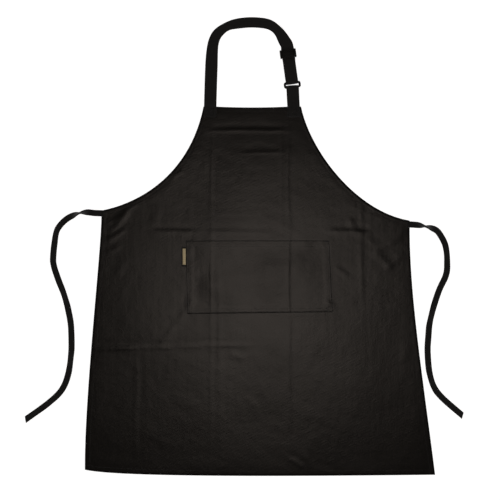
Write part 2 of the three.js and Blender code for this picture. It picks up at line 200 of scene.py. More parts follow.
def wovenMaterial(name, look):
    # Woven polyester twill: fine slanting ribs that give a soft satin gleam.
    material, tree = newMaterial(name)
    place = addNode(tree, "ShaderNodeTexCoord").outputs["Object"]
    ribScale = waveScale(look["rib"])
    slanted = addNode(tree, "ShaderNodeMapping", {"Rotation": (0, 0, math.radians(58))}, {"Vector": place})
    rib = addNode(tree, "ShaderNodeTexWave", {
        "wave_type": "BANDS", "bands_direction": "X", "Scale": ribScale, "Distortion": 0.6,
        "Detail": 1.0, "Detail Scale": 2.0}, {"Vector": slanted.outputs[0]})
    crossed = addNode(tree, "ShaderNodeMapping", {"Rotation": (0, 0, math.radians(-20))}, {"Vector": place})
    weft = addNode(tree, "ShaderNodeTexWave", {
        "wave_type": "BANDS", "bands_direction": "Y", "Scale": ribScale * 1.15, "Distortion": 0.8,
        "Detail": 1.0, "Detail Scale": 2.0}, {"Vector": crossed.outputs[0]})
    weave = addNode(tree, "ShaderNodeMath", {"operation": "MULTIPLY"}, {
        0: rib.outputs["Fac"], 1: weft.outputs["Fac"]})
    slub = addNode(tree, "ShaderNodeTexNoise", {"Scale": noiseScale(look["slub"]), "Detail": 2.0},
                   {"Vector": place})
    height = addNode(tree, "ShaderNodeMath", {"operation": "MULTIPLY_ADD", 1: 0.5}, {
        0: slub.outputs["Fac"], 2: weave.outputs[0]})
    weaveBump = addNode(tree, "ShaderNodeBump", {"Strength": look["bump"], "Distance": 0.25 * mm},
                        {"Height": height.outputs[0]})
    # Fine crumples and the faint streaks of uneven warp threads.
    crumple = addNode(tree, "ShaderNodeTexNoise", {
        "Scale": noiseScale(look["crumpleSize"]), "Detail": 3.0, "Roughness": 0.55, "Distortion": 0.6},
        {"Vector": place})
    drawn = addNode(tree, "ShaderNodeMapping", {"Scale": (1.0, 0.06, 0.06)}, {"Vector": place})
    streak = addNode(tree, "ShaderNodeTexNoise", {"Scale": noiseScale(look["streak"]), "Detail": 2.0},
                     {"Vector": drawn.outputs[0]})
    rumpled = addNode(tree, "ShaderNodeMath", {"operation": "MULTIPLY_ADD", 1: 0.45}, {
        0: streak.outputs["Fac"], 2: crumple.outputs["Fac"]})
    bump = addNode(tree, "ShaderNodeBump", {"Strength": look["crumple"], "Distance": 1.0 * mm},
                   {"Height": rumpled.outputs[0], "Normal": weaveBump.outputs[0]})
    cloudy = addNode(tree, "ShaderNodeTexNoise", {"Scale": noiseScale(look["cloud"]), "Detail": 4.0},
                     {"Vector": place})
    fine = addNode(tree, "ShaderNodeTexNoise", {"Scale": noiseScale(look["fleck"]), "Detail": 2.0},
                   {"Vector": place})
    blend = addNode(tree, "ShaderNodeMath", {"operation": "MULTIPLY_ADD", 1: 0.35}, {
        0: fine.outputs["Fac"], 2: cloudy.outputs["Fac"]})
    spread = addNode(tree, "ShaderNodeMapRange", {"From Min": 0.35, "From Max": 1.0},
                     {"Value": blend.outputs[0]})
    colour = addNode(tree, "ShaderNodeMix", {
        "data_type": "RGBA", 6: toLinear(look["colour"]), 7: toLinear(look["lighter"])},
        {0: spread.outputs[0]})
    rough = addNode(tree, "ShaderNodeMapRange", {
        "To Min": look["roughness"] - 0.05, "To Max": look["roughness"] + 0.05},
        {"Value": cloudy.outputs["Fac"]})
    shader = addNode(tree, "ShaderNodeBsdfPrincipled", {"IOR": 1.5}, {
        "Base Color": colour.outputs[2], "Roughness": rough.outputs[0], "Normal": bump.outputs[0]})
    finishMaterial(tree, shader)
    return material


# Real plies turn about once a millimetre, too fine to show: drawn about 5 mm apart.
threadLook = {"colour": "#171412", "paintedGrooveShade": "#0f0d0c", "roughness": 0.45, "twist": 5.236}


def threadMaterial():
    # Spun polyester sewing thread: two plies twisted, a little glossier than the cloth.
    material, tree = newMaterial("spunPolyesterThread")
    place = addNode(tree, "ShaderNodeTexCoord").outputs["Object"]
    twist = addNode(tree, "ShaderNodeTexWave", {
        "bands_direction": "DIAGONAL", "Scale": waveScale(threadLook["twist"], 10), "Distortion": 0.5},
        {"Vector": place})
    bump = addNode(tree, "ShaderNodeBump", {"Strength": 0.3, "Distance": 0.1 * mm},
                   {"Height": twist.outputs["Fac"]})
    # Painted shade: the twist's grooves are coloured darker than its crests.
    tint = addNode(tree, "ShaderNodeMix", {
        "data_type": "RGBA", 6: toLinear(threadLook["paintedGrooveShade"]), 7: toLinear(threadLook["colour"])},
        {0: twist.outputs["Fac"]})
    shader = addNode(tree, "ShaderNodeBsdfPrincipled", {"Roughness": threadLook["roughness"], "IOR": 1.5},
                     {"Base Color": tint.outputs[2], "Normal": bump.outputs[0]})
    finishMaterial(tree, shader)
    return material


acetalLook = {"colour": "#0d0c0b", "worn": "#141211", "roughness": 0.34, "grain": 0.4, "wear": 6.25}


def acetalMaterial():
    # Moulded black acetal: a smooth satin skin with the faint grain of the mould.
    material, tree = newMaterial("mouldedAcetal")
    place = addNode(tree, "ShaderNodeTexCoord").outputs["Object"]
    grain = addNode(tree, "ShaderNodeTexNoise", {"Scale": noiseScale(acetalLook["grain"]), "Detail": 2.0},
                    {"Vector": place})
    wear = addNode(tree, "ShaderNodeTexNoise", {"Scale": noiseScale(acetalLook["wear"]), "Detail": 3.0},
                   {"Vector": place})
    bump = addNode(tree, "ShaderNodeBump", {"Strength": 0.15, "Distance": 0.05 * mm},
                   {"Height": grain.outputs["Fac"]})
    rough = addNode(tree, "ShaderNodeMapRange", {
        "To Min": acetalLook["roughness"] - 0.07, "To Max": acetalLook["roughness"] + 0.1},
        {"Value": wear.outputs["Fac"]})
    tint = addNode(tree, "ShaderNodeMix", {
        "data_type": "RGBA", 6: toLinear(acetalLook["colour"]), 7: toLinear(acetalLook["worn"])},
        {0: wear.outputs["Fac"]})
    shader = addNode(tree, "ShaderNodeBsdfPrincipled", {"IOR": 1.48}, {
        "Base Color": tint.outputs[2], "Roughness": rough.outputs[0], "Normal": bump.outputs[0]})
    finishMaterial(tree, shader)
    return material


bodyLook = {
    "thick": 0.55 * mm, "hemThick": 0.5 * mm, "hemWidth": 10 * mm, "armholeHem": 8 * mm,
    "columns": 170, "sideRows": 150, "armholeRows": 110,
    "columnStep": 0.0016, "sideStep": 0.0022, "armholeStep": 0.0035,  # first steps in from the edges
    "waveHeight": 0.8 * mm, "ripple": 0.035 * mm, "bibDip": 2 * mm,
}
# Pressed-in packing folds: from, to (mm), height (mm) and half width (mm).
packingFolds = [
    ((-96, 272), (-98, -440), 0.30, 3.0), ((56, 270), (58, -445), 0.39, 3.2),
    ((-82, -60), (-78, -440), 0.23, 4.0), ((42, 262), (46, -40), 0.19, 4.0),
    ((-246, -206), (-248, -440), 0.32, 3.0), ((200, 120), (204, -140), 0.26, 4.0),
    ((-104, 231), (60, 233), 0.51, 3.4), ((-40, 186), (50, 188), 0.39, 4.0),
    ((-220, 30), (-124, 28), 0.65, 3.4), ((-110, 29), (30, 27), 0.32, 3.4),
    ((134, 31), (222, 27), 0.72, 4.0), ((-340, -204), (-8, -196), 0.51, 3.4),
    ((-338, -206), (-246, -203), 0.65, 4.5),
]
# Soft pull lines that run in from the ties: from, to (mm), height (mm) and half width (mm).
pullLines = [
    ((-304, 30), (-262, 66), 0.6, 5.0), ((-306, 8), (-270, 36), 0.65, 5.0),
    ((-290, 52), (-240, 88), 0.57, 6.0), ((-306, -16), (-280, 2), 0.42, 5.0),
    ((-270, 84), (-238, 108), 0.42, 5.0), ((-306, 44), (-284, 56), 0.57, 4.0),
    ((-290, -60), (-268, -30), 0.27, 7.0), ((-176, 138), (-150, 150), 0.38, 5.0),
    ((-216, 40), (-200, 84), 0.23, 7.0), ((290, 34), (256, 2), 0.4, 7.0),
    ((262, 12), (226, -16), 0.2, 7.0), ((284, -14), (252, -44), 0.34, 6.0),
    ((230, -6), (266, -50), 0.3, 7.0), ((212, 24), (236, -4), 0.2, 6.0),
    ((246, 76), (206, 88), 0.25, 6.0), ((180, 60), (196, 20), 0.30, 6.0),
    ((150, -40), (176, -62), 0.38, 4.0), ((130, -104), (152, -122), 0.38, 4.0),
    ((-132, -100), (-170, -160), 0.27, 6.0), ((-170, -160), (-204, -196), 0.27, 6.0),
    ((56, -420), (86, -446), 0.49, 4.0), ((92, -412), (104, -448), 0.38, 4.0),
    ((110, -440), (150, -452), 0.27, 4.0), ((-30, -300), (6, -340), 0.19, 6.0),
    ((-60, -214), (-30, -222), 0.30, 5.0), ((300, -190), (280, -236), 0.27, 8.0),
]


def cadOutline(node):
    # The ordered outline of a flat CAD solid's upper face.
    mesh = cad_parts[node].data
    keys = [(round(v.co.x, 5), round(v.co.y, 5)) for v in mesh.vertices]
    edges = set()
    for face in mesh.polygons:
        if face.normal.z > 0.5:
            ring = [keys[i] for i in face.vertices]
            edges.update(zip(ring, ring[1:] + ring[:1]))
    following = {a: b for a, b in edges if (b, a) not in edges}
    start = min(following, key=lambda p: p[0] + p[1])
    loop = [start]
    while following[loop[-1]] != start:
        loop.append(following[loop[-1]])
    return np.array(loop)


def bodyEdges():
    # Cuts the outline at its six sharp corners, from the hem's left corner round to it again.
    loop = cadOutline("body_panel")
    before, after = loop - np.roll(loop, 1, axis=0), np.roll(loop, -1, axis=0) - loop
    turn = np.abs(np.arctan2(np.cross(before, after), (before * after).sum(1)))
    corners = sorted(np.argsort(-turn)[:6])
    start = min(corners, key=lambda i: loop[i].sum())
    corners = corners[corners.index(start):] + corners[:corners.index(start)]
    names = ["bottom", "rightSide", "rightArmhole", "top", "leftArmhole", "leftSide"]
    edges = {}
    for name, a, b in zip(names, corners, corners[1:] + corners[:1]):
        span = (b - a) % len(loop)
        edges[name] = np.array([loop[(a + k) % len(loop)] for k in range(span + 1)])
    return edges


edges = bodyEdges()
bibTop = edges["top"][0][1]
bibMiddle = (edges["top"][0][0] + edges["top"][-1][0]) / 2
bibHalf = abs(edges["top"][0][0] - edges["top"][-1][0]) / 2
hemLines = np.vstack([resample(edges[n], 260) for n in ("bottom", "rightSide", "leftSide", "top")])
armholeLines = np.vstack([resample(edges[n], 180) for n in ("rightArmhole", "leftArmhole")])


def nearest(x, y, line):
    # Distance from each place to the nearest point of a line.
    flat = np.stack([np.ravel(x), np.ravel(y)], 1)
    found = np.empty(len(flat))
    for i in range(0, len(flat), 6000):
        part = flat[i:i + 6000]
        gaps = ((part[:, None, 0] - line[None, :, 0]) ** 2 + (part[:, None, 1] - line[None, :, 1]) ** 2)
        found[i:i + 6000] = np.sqrt(gaps.min(1))
    return found.reshape(np.shape(x))


def ridge(x, y, line, crisp=False):
    # A fold or pull line: a low ridge that fades out at both ends.
    (x0, y0), (x1, y1), height, half = line
    start, end = np.array([x0, y0]) * mm, np.array([x1, y1]) * mm
    direction = (end - start) / np.linalg.norm(end - start)
    length = np.linalg.norm(end - start)
    t = (x - start[0]) * direction[0] + (y - start[1]) * direction[1]
    off = (x - start[0]) * -direction[1] + (y - start[1]) * direction[0]
    wander = 0.8 * mm * np.sin(t / (31 * mm)) if crisp else 2.5 * mm * np.sin(t / (17 * mm) + x0)
    off = (off - wander) / (half * mm)
    fade = smoothStep(t, -0.1 * length, 0.25 * length) * smoothStep(length - t, -0.1 * length, 0.25 * length)
    profile = np.exp(-np.abs(off) * 1.3) if crisp else np.exp(-off ** 2)
    return height * mm * fade * (profile - 0.35 * np.exp(-((off - 2.4) / 1.6) ** 2))


pocketLow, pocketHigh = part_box("pocket_panel")


def pocketEdgeDistance(x, y):
    outX = np.maximum(pocketLow.x - x, x - pocketHigh.x)
    outY = np.maximum(pocketLow.y - y, y - pocketHigh.y)
    return np.hypot(np.maximum(outX, 0), np.maximum(outY, 0)) + np.minimum(np.maximum(outX, outY), 0)


def clothLevel(x, y):
    # Height of the cloth's front layer: low waves, folds, pull lines and puckers, raised over the hems.
    edge = np.minimum(nearest(x, y, hemLines), nearest(x, y, armholeLines))
    wave = 0.35 * uneven(x, y, 0.2, 3) + 0.08 * uneven(x, y, 0.07, 5)
    height = bodyLook["waveHeight"] * (1.1 + wave)
    height += bodyLook["ripple"] * uneven(x, y, 0.028, 8)
    for line in packingFolds:
        height += ridge(x, y, line, crisp=True)
    for line in pullLines:
        height += ridge(x, y, line)
    pucker = 0.05 * mm * uneven(x, y, 0.016, 11) * np.exp(-((edge - 11 * mm) / (9 * mm)) ** 2)
    aroundPocket = 0.06 * mm * uneven(x, y, 0.02, 13) * np.exp(-(pocketEdgeDistance(x, y) / (14 * mm)) ** 2)
    height = (height + pucker + aroundPocket) * smoothStep(edge, -30 * mm, 45 * mm)
    return np.maximum(height, 0.05 * mm) + bodyLook["hemThick"] * (1 - smoothStep(edge, 2 * mm, 45 * mm))


def hemShares(x, y):
    # How much of the hem's turned-back cloth lies here, and how near the two rows of stitches are.
    hem = nearest(x, y, hemLines)
    arm = nearest(x, y, armholeLines)
    folded = np.maximum(1 - smoothStep(hem, bodyLook["hemWidth"], bodyLook["hemWidth"] + 2 * mm),
                        1 - smoothStep(arm, bodyLook["armholeHem"], bodyLook["armholeHem"] + 2 * mm))
    groove = np.maximum(np.exp(-((hem - bodyLook["hemWidth"]) / (0.9 * mm)) ** 2),
                        np.exp(-((arm - bodyLook["armholeHem"]) / (0.9 * mm)) ** 2))
    return folded, groove, np.minimum(hem, arm)


def clothUnder(x, y):
    folded = hemShares(x, y)[0]
    return np.maximum(clothLevel(x, y) - bodyLook["hemThick"] * folded, 0.02 * mm)


def clothTop(x, y):
    _, groove, edge = hemShares(x, y)
    rounded = smoothStep(edge, -1.2 * mm, 3.6 * mm)
    drop = (bodyLook["thick"] + bodyLook["hemThick"]) * 0.7 * (1 - rounded)
    return clothLevel(x, y) + bodyLook["thick"] - drop - 0.08 * mm * groove


def closeToEdges(count, first):
    # Parameters from 0 to 1 with a few extra steps close to both ends.
    extra = np.array([0, 0.35, 0.8, 1.5, 2.6, 4.2]) * first
    middle = np.linspace(6.5 * first, 1 - 6.5 * first, count - 2 * len(extra))
    return np.concatenate([extra, middle, 1 - extra[::-1]])


def sideLine(lower, upper):
    # One side of the cloth, from the hem's corner up to the bib's.
    low = pointsAt(lower, closeToEdges(bodyLook["sideRows"], bodyLook["sideStep"]) * along(lower)[-1])
    high = pointsAt(upper, closeToEdges(bodyLook["armholeRows"], bodyLook["armholeStep"]) * along(upper)[-1])
    return np.vstack([low, high[1:]])


def makeBody(material):
    right = sideLine(edges["rightSide"], edges["rightArmhole"])
    left = sideLine(edges["leftSide"][::-1], edges["leftArmhole"][::-1])
    u = closeToEdges(bodyLook["columns"], bodyLook["columnStep"])
    bottom = pointsAt(edges["bottom"], u * along(edges["bottom"])[-1])
    top = (1 - u)[:, None] * left[-1] + u[:, None] * right[-1]
    # The rows keep the height they have along the left and right edges.
    v = 0.5 * (along(left) / along(left)[-1] + along(right) / along(right)[-1])
    v, u = (grid[..., None] for grid in np.meshgrid(v, u, indexing="ij"))
    patch = ((1 - v) * bottom[None] + v * top[None] + (1 - u) * left[:, None] + u * right[:, None]
             - (1 - v) * (1 - u) * bottom[0] - (1 - v) * u * bottom[-1]
             - v * (1 - u) * top[0] - v * u * top[-1])
    x, y = patch[..., 0].copy(), patch[..., 1].copy()
    # The bib's edge sags a little between the straps.
    y -= bodyLook["bibDip"] * smoothStep(y, bibTop - 60 * mm, bibTop) * np.clip(
        1 - ((x - bibMiddle) / (0.8 * bibHalf)) ** 2, 0, 1)
    upper = np.stack([x, y, clothTop(x, y)], -1)
    lower = np.stack([x, y, clothUnder(x, y)], -1)
    verts, faces = closedGrid(upper, lower)
    body = meshObject("bodyPanel", verts, faces, material)
    joinTo(body, "apron", "body_panel")


stitchLook = {"pitch": 3.0 * mm, "share": 0.82, "radius": 0.3 * mm, "sides": 6}


def insetLine(line, inset, trim, step=1.5 * mm):
    line = resample(line, max(3, int(along(line)[-1] / step)))
    direction = np.gradient(line, axis=0)
    direction /= np.linalg.norm(direction, axis=1)[:, None]
    moved = line + inset * np.stack([-direction[:, 1], direction[:, 0]], 1)
    travelled = along(moved)
    return moved[(travelled >= trim) & (travelled <= travelled[-1] - trim)]


def stitchRow(name, line, heightAt, material, pitch=stitchLook["pitch"]):
    # Separate stitches along a line: each one is a short thread that dips into the cloth at both ends.
    length = pitch * stitchLook["share"]
    places = np.arange(pitch / 2, along(line)[-1] - pitch / 4, pitch)
    centre = pointsAt(line, places)
    direction = pointsAt(line, places + pitch / 3) - pointsAt(line, places - pitch / 3)
    direction /= np.linalg.norm(direction, axis=1)[:, None]
    sideways = np.stack([-direction[:, 1], direction[:, 0]], 1)
    shares = np.array([-0.5, -0.42, -0.2, 0.0, 0.2, 0.42, 0.5])
    fat = np.array([0.3, 0.75, 1.0, 1.05, 1.0, 0.75, 0.3])
    dip = np.array([0.55, 0.3, 0.05, 0.0, 0.05, 0.3, 0.55]) * mm
    sides = stitchLook["sides"]
    verts, faces = [], []
    angles = 2 * math.pi * np.arange(sides) / sides
    for share, girth, sink in zip(shares, fat, dip):
        middle = centre + direction * (share * length)
        height = heightAt(middle[:, 0], middle[:, 1]) + 0.12 * mm - sink
        for angle in angles:
            reach = stitchLook["radius"] * girth
            spot = middle + sideways * (reach * math.cos(angle))
            verts.append(np.column_stack([spot, height + reach * math.sin(angle)]))
    ring = len(verts)
    grid = np.stack(verts, 1).reshape(-1, 3)
    for k in range(len(places)):
        base = k * ring
        for r in range(len(shares) - 1):
            for s in range(sides):
                n = (s + 1) % sides
                faces.append((base + r * sides + s, base + (r + 1) * sides + s,
                              base + (r + 1) * sides + n, base + r * sides + n))
        faces.append(tuple(base + s for s in range(sides)))
        faces.append(tuple(base + (len(shares) - 1) * sides + s for s in reversed(range(sides))))
    return meshObject(name, grid, faces, material)


def makeHemStitches(material):
    hem, arm = bodyLook["hemWidth"], bodyLook["armholeHem"]
    for name, node, edge, inset, trim in (
            ("bottomHemStitches", "bottom_hem_thread", "bottom", hem, 3 * mm),
            ("rightSideStitches", "right_side_thread", "rightSide", hem, 3 * mm),
            ("leftSideStitches", "left_side_thread", "leftSide", hem, 3 * mm),
            ("rightArmholeStitches", "right_armhole_thread", "rightArmhole", arm, 3 * mm),
            ("leftArmholeStitches", "left_armhole_thread", "leftArmhole", arm, 3 * mm),
            ("bibHemStitches", "bib_hem_thread", "top", hem, 28 * mm)):  # stops short of both straps
        joinTo(stitchRow(name, insetLine(edges[edge], inset, trim), clothTop, material), "apron", node)
    print("hem stitches made")


pocketLook = {
    "thick": 0.4 * mm, "turned": 0.2 * mm, "allowance": 11 * mm, "mouthHem": 12 * mm,
    "rise": 1.3 * mm, "slope": 66 * mm, "columns": 130, "rows": 76, "columnStep": 0.0035, "rowStep": 0.006,
    "seams": (3 * mm, 8 * mm),
    "skew": {"topLeft": (-1, 0), "topRight": (-3, 0), "bottomRight": (4, 3), "bottomLeft": (1.5, -1)},
}


def pocketPlace(u, v):
    # The pocket lies a little out of square.
    corners = {}
    for name, (dx, dy) in pocketLook["skew"].items():
        x = pocketLow.x if "Left" in name else pocketHigh.x
        y = pocketLow.y if "bottom" in name else pocketHigh.y
        corners[name] = np.array([x, y]) + np.array([dx, dy]) * mm
    u, v = np.asarray(u)[..., None], np.asarray(v)[..., None]
    return ((1 - u) * (1 - v) * corners["bottomLeft"] + u * (1 - v) * corners["bottomRight"]
            + (1 - u) * v * corners["topLeft"] + u * v * corners["topRight"])


pocketWide = pocketHigh.x - pocketLow.x
pocketTall = pocketHigh.y - pocketLow.y


def pocketFaces(u, v):
    # Upper and lower height of the pocket's cloth at shares u across and v up.
    place = pocketPlace(u, v)
    x, y = place[..., 0], place[..., 1]
    fromSide = np.minimum(u, 1 - u) * pocketWide
    fromBottom = v * pocketTall
    fromTop = (1 - v) * pocketTall
    inner = np.minimum(fromSide, fromBottom)
    lift = pocketLook["rise"] * smoothStep(fromSide, pocketLook["allowance"], pocketLook["slope"]) \
        * smoothStep(fromBottom, pocketLook["allowance"], pocketLook["slope"])
    lift = lift * (0.75 + 0.3 * uneven(x, y, 0.11, 21)) + 0.04 * mm * uneven(x, y, 0.035, 23)
    pucker = 0.08 * mm * uneven(x, y, 0.015, 25) * np.exp(-((inner - 12 * mm) / (8 * mm)) ** 2)
    under = clothTop(x, y) + 0.08 * mm + np.maximum(lift + pucker, 0)
    folded = np.maximum(
        1 - smoothStep(inner, pocketLook["allowance"] - 1 * mm, pocketLook["allowance"] + 5 * mm),
        1 - smoothStep(fromTop, pocketLook["mouthHem"] - 1 * mm, pocketLook["mouthHem"] + 4 * mm))
    rounded = np.minimum(smoothStep(np.minimum(fromSide, fromTop), -0.3 * mm, 0.9 * mm),
                         smoothStep(fromBottom, -1 * mm, 3 * mm))
    outer, second = pocketLook["seams"]
    rows = [np.abs(inner - outer), np.abs(inner - second), np.abs(fromTop - pocketLook["mouthHem"])]
    groove = sum(np.exp(-(row / (0.8 * mm)) ** 2) for row in rows)
    thick = pocketLook["thick"] + pocketLook["turned"] * folded
    return x, y, under + thick * (0.2 + 0.8 * rounded) - 0.1 * mm * np.minimum(groove, 1), under


def pocketTop(x, y):
    u = (x - pocketLow.x) / pocketWide
    v = (y - pocketLow.y) / pocketTall
    return pocketFaces(np.clip(u, 0, 1), np.clip(v, 0, 1))[2]


def makePocket(material, thread):
    u = closeToEdges(pocketLook["columns"], pocketLook["columnStep"])
    v = closeToEdges(pocketLook["rows"], pocketLook["rowStep"])
    v, u = np.meshgrid(v, u, indexing="ij")
    x, y, upper, lower = pocketFaces(u, v)
    verts, faces = closedGrid(np.stack([x, y, upper], -1), np.stack([x, y, lower], -1))
    pocket = meshObject("pocketPanel", verts, faces, material)
    joinTo(pocket, "apron", "pocket_panel")

    def row(inset):
        a, b = inset / pocketWide, inset / pocketTall
        spots = [(a, 1 - 3 * mm / pocketTall), (a, b), (1 - a, b), (1 - a, 1 - 3 * mm / pocketTall)]
        return np.vstack([resample(pocketPlace(*np.array([p, q]).T), 80)
                          for p, q in zip(spots[:-1], spots[1:])])

    mouth = pocketLook["mouthHem"] / pocketTall
    across = pocketPlace(np.linspace(0.03, 0.97, 60), np.full(60, 1 - mouth))
    for name, node, line in (
            ("pocketSeamStitches", "pocket_seam_thread", row(pocketLook["seams"][0])),
            ("pocketInnerSeamStitches", "pocket_inner_seam_thread", row(pocketLook["seams"][1])),
            ("pocketHemStitches", "pocket_hem_thread", across)):
        joinTo(stitchRow(name, line, pocketTop, thread), "apron", node)
    for side, share in (("left", 0.006), ("right", 0.964)):
        ends = pocketPlace(np.array([share, share + 0.03]), np.full(2, 1 - 2.4 * mm / pocketTall))
        bartack(f"pocketBartack_{side}", f"pocket_bartack_{side}", ends[0], ends[1], pocketTop, thread)
    print("pocket made")


bartackLook = {"wide": 2.2 * mm, "pitch": 0.55 * mm}


def bartack(name, node, start, end, heightAt, material):
    # A bartack: close zigzag stitches side by side across a short line.
    direction = (end - start) / np.linalg.norm(end - start)
    sideways = np.array([-direction[1], direction[0]])
    wide, pitch = bartackLook["wide"], bartackLook["pitch"]
    line = []
    for k in range(int(np.linalg.norm(end - start) / pitch)):
        line.append(start + direction * k * pitch + sideways * wide / 2 * (1 if k % 2 else -1))
    made = stitchRow(name, np.array(line), heightAt, material, pitch=wide * 1.03)
    joinTo(made, "apron", node)


def makeTieBartacks(material):
    for side, spot, inwards in (("left", edges["leftSide"][0], 1), ("right", edges["rightSide"][-1], -1)):
        x = spot[0] + inwards * 5 * mm
        bartack(f"{side}TieBartack", f"{side}_tie_bartack", np.array([x, spot[1] - 10 * mm]),
                np.array([x, spot[1] - 2 * mm]), clothTop, material)


# Real picks lie about 0.2 mm apart, too fine to show: drawn 3.5 mm apart.
labelLook = {"thick": 0.9 * mm, "ground": "#100d0a", "gold": "#f5e2b4", "pick": 3.491, "square": 2.6 * mm}


def labelMaterial(low, high):
    # Damask-woven label: a dark ground with a plain lattice of gold threads.
    material, tree = newMaterial("damaskWovenLabel")
    place = addNode(tree, "ShaderNodeTexCoord").outputs["Object"]
    split = addNode(tree, "ShaderNodeSeparateXYZ", {}, {0: place})
    across = addNode(tree, "ShaderNodeMapRange", {"From Min": low.x, "From Max": high.x},
                     {"Value": split.outputs[0]})
    up = addNode(tree, "ShaderNodeMapRange", {"From Min": low.y, "From Max": high.y},
                 {"Value": split.outputs[1]})

    def band(source, start, end):
        above = addNode(tree, "ShaderNodeMath", {"operation": "GREATER_THAN", 1: start}, {0: source})
        below = addNode(tree, "ShaderNodeMath", {"operation": "LESS_THAN", 1: end}, {0: source})
        return addNode(tree, "ShaderNodeMath", {"operation": "MULTIPLY"}, {
            0: above.outputs[0], 1: below.outputs[0]})

    panel = addNode(tree, "ShaderNodeMath", {"operation": "MULTIPLY"}, {
        0: band(across.outputs[0], 0.25, 0.88).outputs[0], 1: band(up.outputs[0], 0.1, 0.9).outputs[0]})
    turned = addNode(tree, "ShaderNodeMapping", {"Rotation": (0, 0, math.radians(45))}, {"Vector": place})
    squares = addNode(tree, "ShaderNodeTexChecker", {"Scale": 1 / labelLook["square"]},
                      {"Vector": turned.outputs[0]})
    lattice = addNode(tree, "ShaderNodeMapRange", {"To Min": 0.8, "To Max": 1.0},
                      {"Value": squares.outputs["Fac"]})
    gold = addNode(tree, "ShaderNodeMath", {"operation": "MULTIPLY"}, {
        0: panel.outputs[0], 1: lattice.outputs[0]})
    pick = addNode(tree, "ShaderNodeTexWave", {"bands_direction": "Y", "Scale": waveScale(labelLook["pick"])},
                   {"Vector": place})
    bump = addNode(tree, "ShaderNodeBump", {"Strength": 0.3, "Distance": 0.15 * mm},
                   {"Height": pick.outputs["Fac"]})
    tint = addNode(tree, "ShaderNodeMix", {
        "data_type": "RGBA", 6: toLinear(labelLook["ground"]), 7: toLinear(labelLook["gold"])},
        {0: gold.outputs[0]})
    shader = addNode(tree, "ShaderNodeBsdfPrincipled", {"Roughness": 0.5},
                     {"Base Color": tint.outputs[2], "Normal": bump.outputs[0]})
    finishMaterial(tree, shader)
    return material


def makeLabel():
    low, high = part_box("side_label")
    high = Vector((high.x + 0.3 * mm, high.y, high.z))
    wide, tall = high.x - low.x, high.y - low.y
    v, u = np.meshgrid(closeToEdges(46, 0.006), closeToEdges(22, 0.02), indexing="ij")
    x, y = low.x + u * wide, low.y + v * tall
    edge = np.minimum(u * wide, np.minimum(v, 1 - v) * tall)
    rounded = np.sqrt(np.clip(1 - (1 - np.clip(edge / (0.5 * mm), 0, 1)) ** 2, 0, 1))
    curl = 0.7 * mm * (1 - u) ** 2 * (0.6 + 0.4 * np.sin(5 * v + 1))
    under = clothTop(x, y) + 0.1 * mm + curl
    upper = under + labelLook["thick"] * (0.3 + 0.7 * rounded)
    verts, faces = closedGrid(np.stack([x, y, upper], -1), np.stack([x, y, under], -1))
    label = meshObject("sideLabel", verts, faces, labelMaterial(low, high))
    joinTo(label, "label", "side_label")
    print("label made")


def levelAcross(route):
    # Sideways directions that stay level, through a climb or a turn round a bar.
    tangent = np.gradient(route, axis=0)
    tangent /= np.linalg.norm(tangent, axis=1)[:, None]
    across = np.array([1.0, 0, 0])
    found = []
    for direction in tangent:
        level = np.array([-direction[1], direction[0], 0])
        if np.linalg.norm(level) > 0.08:
            level /= np.linalg.norm(level)
            across = level * (1 if level @ across >= 0 else -1)
        found.append(across)
    found = np.array(found)
    normal = np.cross(found, tangent)
    normal *= np.sign(normal[0, 2] or 1)
    return tangent, found, normal


def tapeMesh(name, route, width, thick, material, roll=None, wrinkle=None, slantEnd=0.0, steps=15):
    # A flat tape along a route, with rounded edges, which may turn over, wrinkle and end on a slant.
    width = np.broadcast_to(width, len(route))
    tangent, across, normal = levelAcross(route)
    roll = np.zeros(len(route)) if roll is None else roll
    side = across * np.cos(roll)[:, None] + normal * np.sin(roll)[:, None]
    out = normal * np.cos(roll)[:, None] - across * np.sin(roll)[:, None]
    travelled = along(route)
    shares = np.sin(np.linspace(-math.pi / 2, math.pi / 2, steps))
    body = np.clip(1 - np.abs(shares) ** 3, 0, 1) ** 0.6
    rows = []
    for face in (1, -1):
        order = range(steps) if face == 1 else range(steps - 2, 0, -1)
        for k in order:
            c = shares[k]
            bend = 0 if wrinkle is None else wrinkle(travelled, c)
            slant = slantEnd * c * width / 2 * smoothStep(travelled, travelled[-1] - 12 * mm, travelled[-1])
            lift = np.broadcast_to(face * thick / 2 * body[k] + bend, len(route))
            spot = route + side * (c * width / 2)[:, None] + out * lift[:, None]
            rows.append(spot + tangent * np.asarray(slant)[..., None])
    ring = np.stack(rows, 1)
    count, around = ring.shape[:2]
    verts = np.vstack([ring.reshape(-1, 3), ring[0].mean(0)[None], ring[-1].mean(0)[None]])
    index = np.arange(count * around).reshape(count, around)
    nextOne = np.roll(index, -1, axis=1)
    faces = np.stack([index[:-1], nextOne[:-1], nextOne[1:], index[1:]], -1).reshape(-1, 4).tolist()
    first, last = count * around, count * around + 1
    faces += [(nextOne[0, k], index[0, k], first) for k in range(around)]
    faces += [(index[-1, k], nextOne[-1, k], last) for k in range(around)]
    made = meshObject(name, verts, [tuple(int(i) for i in face) for face in faces], material)
    work = bmesh.new()
    work.from_mesh(made.data)
    bmesh.ops.recalc_face_normals(work, faces=work.faces)
    work.to_mesh(made.data)
    work.free()
    return made


tieLook = {"width": 12.6 * mm, "thick": 1.3 * mm, "height": 0.75 * mm, "twistLength": 22 * mm,
          "tapeWidth": 12 * mm}
tieClothLook = {**twillLook, "colour": "#060505", "lighter": "#0a0908", "roughness": 0.75}
